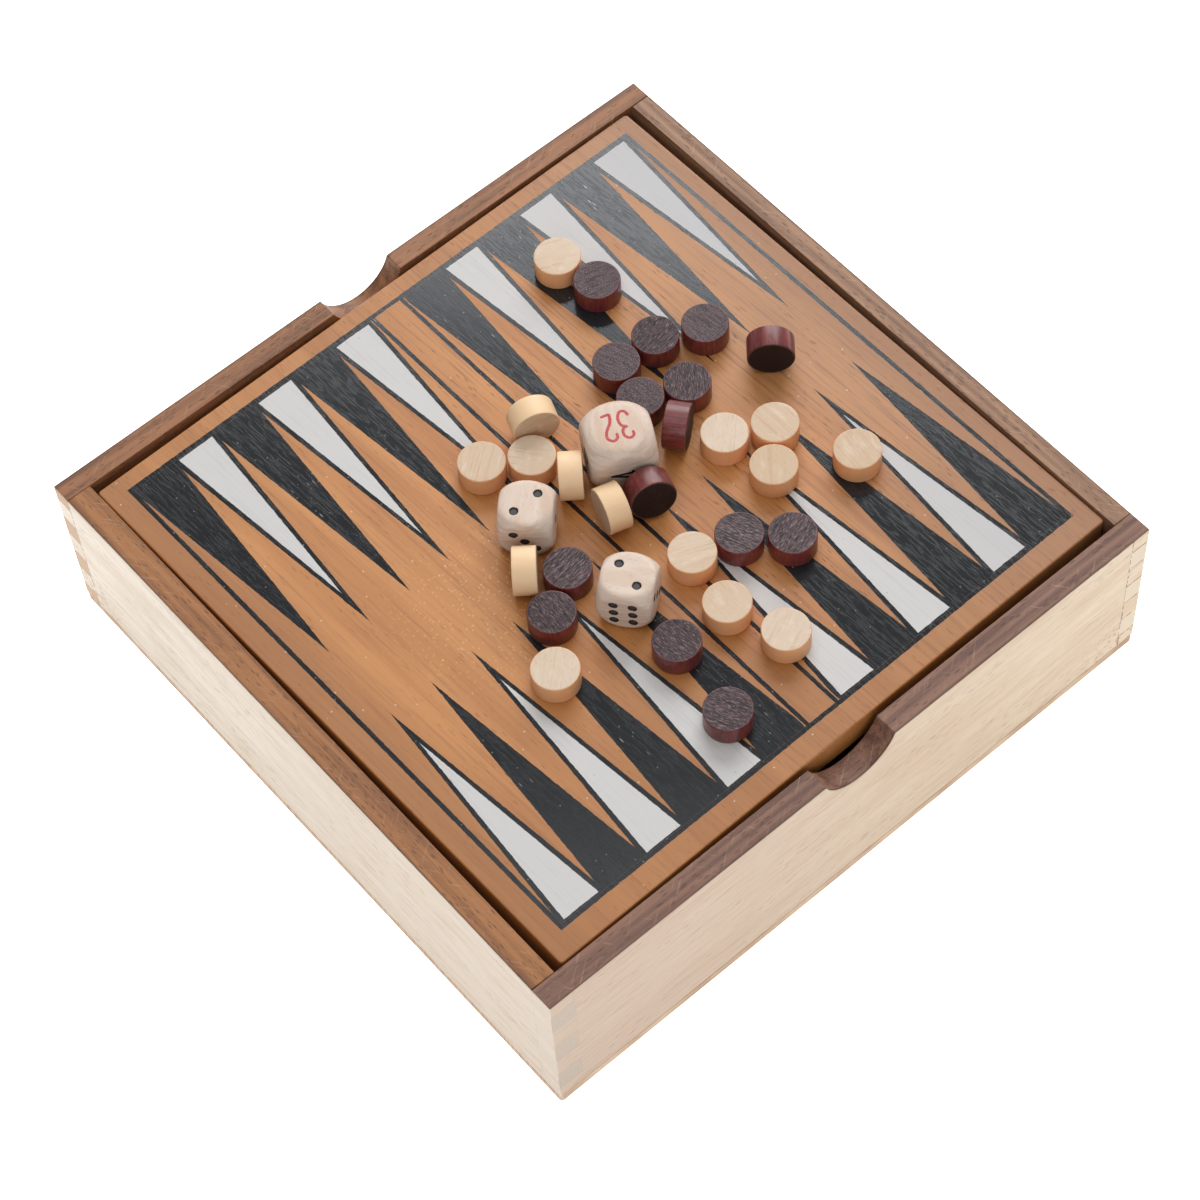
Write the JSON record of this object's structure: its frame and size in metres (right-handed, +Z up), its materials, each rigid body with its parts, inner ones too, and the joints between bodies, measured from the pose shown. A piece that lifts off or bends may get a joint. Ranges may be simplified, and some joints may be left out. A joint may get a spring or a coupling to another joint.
{
  "type": "backgammon set",
  "caption": "Backgammon set: a finger-jointed wooden box with a printed lift-out board, light and dark checkers, dice and a doubling cube on it.",
  "frame": {"origin": "middle of the underside of the box", "axes": "+Z up; X along the two walls with finger notches, Y along the plain walls"},
  "size_m": [0.22, 0.22, 0.0786],
  "materials": {
    "natural_wood": "satin pale wood, walnut stain on the tops and insides",
    "stained_wood": "walnut stain",
    "board_veneer": "satin veneer with black and white print",
    "light_checker_wood": "smooth, clear lacquer",
    "dark_checker_wood": "dark stain, open grain",
    "dice_wood": "smooth, painted marks"
  },
  "bodies": {
    "box": {"bottom_panel": "natural_wood", "wall_front": "natural_wood", "wall_back": "natural_wood", "wall_left": "natural_wood", "wall_right": "natural_wood", "ledge_left": "stained_wood", "ledge_right": "stained_wood"},
    "board": {"playing_board": "board_veneer"},
    "checker_light_01": {"checker_light_01": "light_checker_wood"},
    "checker_light_02": {"checker_light_02": "light_checker_wood"},
    "checker_light_03": {"checker_light_03": "light_checker_wood"},
    "checker_light_04": {"checker_light_04": "light_checker_wood"},
    "checker_light_05": {"checker_light_05": "light_checker_wood"},
    "checker_light_06": {"checker_light_06": "light_checker_wood"},
    "checker_light_07": {"checker_light_07": "light_checker_wood"},
    "checker_light_08": {"checker_light_08": "light_checker_wood"},
    "checker_light_09": {"checker_light_09": "light_checker_wood"},
    "checker_light_10": {"checker_light_10": "light_checker_wood"},
    "checker_light_11": {"checker_light_11": "light_checker_wood"},
    "checker_light_12": {"checker_light_12": "light_checker_wood"},
    "checker_light_13": {"checker_light_13": "light_checker_wood"},
    "checker_light_14": {"checker_light_14": "light_checker_wood"},
    "checker_light_15": {"checker_light_15": "light_checker_wood"},
    "checker_dark_01": {"checker_dark_01": "dark_checker_wood"},
    "checker_dark_02": {"checker_dark_02": "dark_checker_wood"},
    "checker_dark_03": {"checker_dark_03": "dark_checker_wood"},
    "checker_dark_04": {"checker_dark_04": "dark_checker_wood"},
    "checker_dark_05": {"checker_dark_05": "dark_checker_wood"},
    "checker_dark_06": {"checker_dark_06": "dark_checker_wood"},
    "checker_dark_07": {"checker_dark_07": "dark_checker_wood"},
    "checker_dark_08": {"checker_dark_08": "dark_checker_wood"},
    "checker_dark_09": {"checker_dark_09": "dark_checker_wood"},
    "checker_dark_10": {"checker_dark_10": "dark_checker_wood"},
    "checker_dark_11": {"checker_dark_11": "dark_checker_wood"},
    "checker_dark_12": {"checker_dark_12": "dark_checker_wood"},
    "checker_dark_13": {"checker_dark_13": "dark_checker_wood"},
    "checker_dark_14": {"checker_dark_14": "dark_checker_wood"},
    "checker_dark_15": {"checker_dark_15": "dark_checker_wood"},
    "die_1": {"die_1": "dice_wood"},
    "die_2": {"die_2": "dice_wood"},
    "doubling_cube": {"doubling_cube": "dice_wood"}
  },
  "joints": [
    {"name": "board_lift", "type": "slide", "parent": "box", "child": "board", "axis": [0, 0, 1], "range_m": [0, 0.06]},
    {"name": "checker_light_01_lift", "type": "slide", "parent": "board", "child": "checker_light_01", "axis": [0, 0, 1], "range_m": [0, 0.03]},
    {"name": "checker_light_02_lift", "type": "slide", "parent": "board", "child": "checker_light_02", "axis": [0, 0, 1], "range_m": [0, 0.03]},
    {"name": "checker_light_03_lift", "type": "slide", "parent": "board", "child": "checker_light_03", "axis": [0, 0, 1], "range_m": [0, 0.03]},
    {"name": "checker_light_04_lift", "type": "slide", "parent": "board", "child": "checker_light_04", "axis": [0, 0, 1], "range_m": [0, 0.03]},
    {"name": "checker_light_05_lift", "type": "slide", "parent": "board", "child": "checker_light_05", "axis": [0, 0, 1], "range_m": [0, 0.03]},
    {"name": "checker_light_06_lift", "type": "slide", "parent": "board", "child": "checker_light_06", "axis": [0, 0, 1], "range_m": [0, 0.03]},
    {"name": "checker_light_07_lift", "type": "slide", "parent": "board", "child": "checker_light_07", "axis": [0, 0, 1], "range_m": [0, 0.03]},
    {"name": "checker_light_08_lift", "type": "slide", "parent": "board", "child": "checker_light_08", "axis": [0, 0, 1], "range_m": [0, 0.03]},
    {"name": "checker_light_09_lift", "type": "slide", "parent": "board", "child": "checker_light_09", "axis": [0, 0, 1], "range_m": [0, 0.03]},
    {"name": "checker_light_10_lift", "type": "slide", "parent": "board", "child": "checker_light_10", "axis": [0, 0, 1], "range_m": [0, 0.03]},
    {"name": "checker_light_11_lift", "type": "slide", "parent": "board", "child": "checker_light_11", "axis": [0, 0, 1], "range_m": [0, 0.03]},
    {"name": "checker_light_12_lift", "type": "slide", "parent": "board", "child": "checker_light_12", "axis": [0, 0, 1], "range_m": [0, 0.03]},
    {"name": "checker_light_13_lift", "type": "slide", "parent": "board", "child": "checker_light_13", "axis": [0, 0, 1], "range_m": [0, 0.03]},
    {"name": "checker_light_14_lift", "type": "slide", "parent": "board", "child": "checker_light_14", "axis": [0, 0, 1], "range_m": [0, 0.03]},
    {"name": "checker_light_15_lift", "type": "slide", "parent": "board", "child": "checker_light_15", "axis": [0, 0, 1], "range_m": [0, 0.03]},
    {"name": "checker_dark_01_lift", "type": "slide", "parent": "board", "child": "checker_dark_01", "axis": [0, 0, 1], "range_m": [0, 0.03]},
    {"name": "checker_dark_02_lift", "type": "slide", "parent": "board", "child": "checker_dark_02", "axis": [0, 0, 1], "range_m": [0, 0.03]},
    {"name": "checker_dark_03_lift", "type": "slide", "parent": "board", "child": "checker_dark_03", "axis": [0, 0, 1], "range_m": [0, 0.03]},
    {"name": "checker_dark_04_lift", "type": "slide", "parent": "board", "child": "checker_dark_04", "axis": [0, 0, 1], "range_m": [0, 0.03]},
    {"name": "checker_dark_05_lift", "type": "slide", "parent": "board", "child": "checker_dark_05", "axis": [0, 0, 1], "range_m": [0, 0.03]},
    {"name": "checker_dark_06_lift", "type": "slide", "parent": "board", "child": "checker_dark_06", "axis": [0, 0, 1], "range_m": [0, 0.03]},
    {"name": "checker_dark_07_lift", "type": "slide", "parent": "board", "child": "checker_dark_07", "axis": [0, 0, 1], "range_m": [0, 0.03]},
    {"name": "checker_dark_08_lift", "type": "slide", "parent": "board", "child": "checker_dark_08", "axis": [0, 0, 1], "range_m": [0, 0.03]},
    {"name": "checker_dark_09_lift", "type": "slide", "parent": "board", "child": "checker_dark_09", "axis": [0, 0, 1], "range_m": [0, 0.03]},
    {"name": "checker_dark_10_lift", "type": "slide", "parent": "board", "child": "checker_dark_10", "axis": [0, 0, 1], "range_m": [0, 0.03]},
    {"name": "checker_dark_11_lift", "type": "slide", "parent": "board", "child": "checker_dark_11", "axis": [0, 0, 1], "range_m": [0, 0.03]},
    {"name": "checker_dark_12_lift", "type": "slide", "parent": "board", "child": "checker_dark_12", "axis": [0, 0, 1], "range_m": [0, 0.03]},
    {"name": "checker_dark_13_lift", "type": "slide", "parent": "board", "child": "checker_dark_13", "axis": [0, 0, 1], "range_m": [0, 0.03]},
    {"name": "checker_dark_14_lift", "type": "slide", "parent": "board", "child": "checker_dark_14", "axis": [0, 0, 1], "range_m": [0, 0.03]},
    {"name": "checker_dark_15_lift", "type": "slide", "parent": "board", "child": "checker_dark_15", "axis": [0, 0, 1], "range_m": [0, 0.03]},
    {"name": "die_1_lift", "type": "slide", "parent": "board", "child": "die_1", "axis": [0, 0, 1], "range_m": [0, 0.03]},
    {"name": "die_2_lift", "type": "slide", "parent": "board", "child": "die_2", "axis": [0, 0, 1], "range_m": [0, 0.03]},
    {"name": "doubling_cube_lift", "type": "slide", "parent": "board", "child": "doubling_cube", "axis": [0, 0, 1], "range_m": [0, 0.03]}
  ]
}
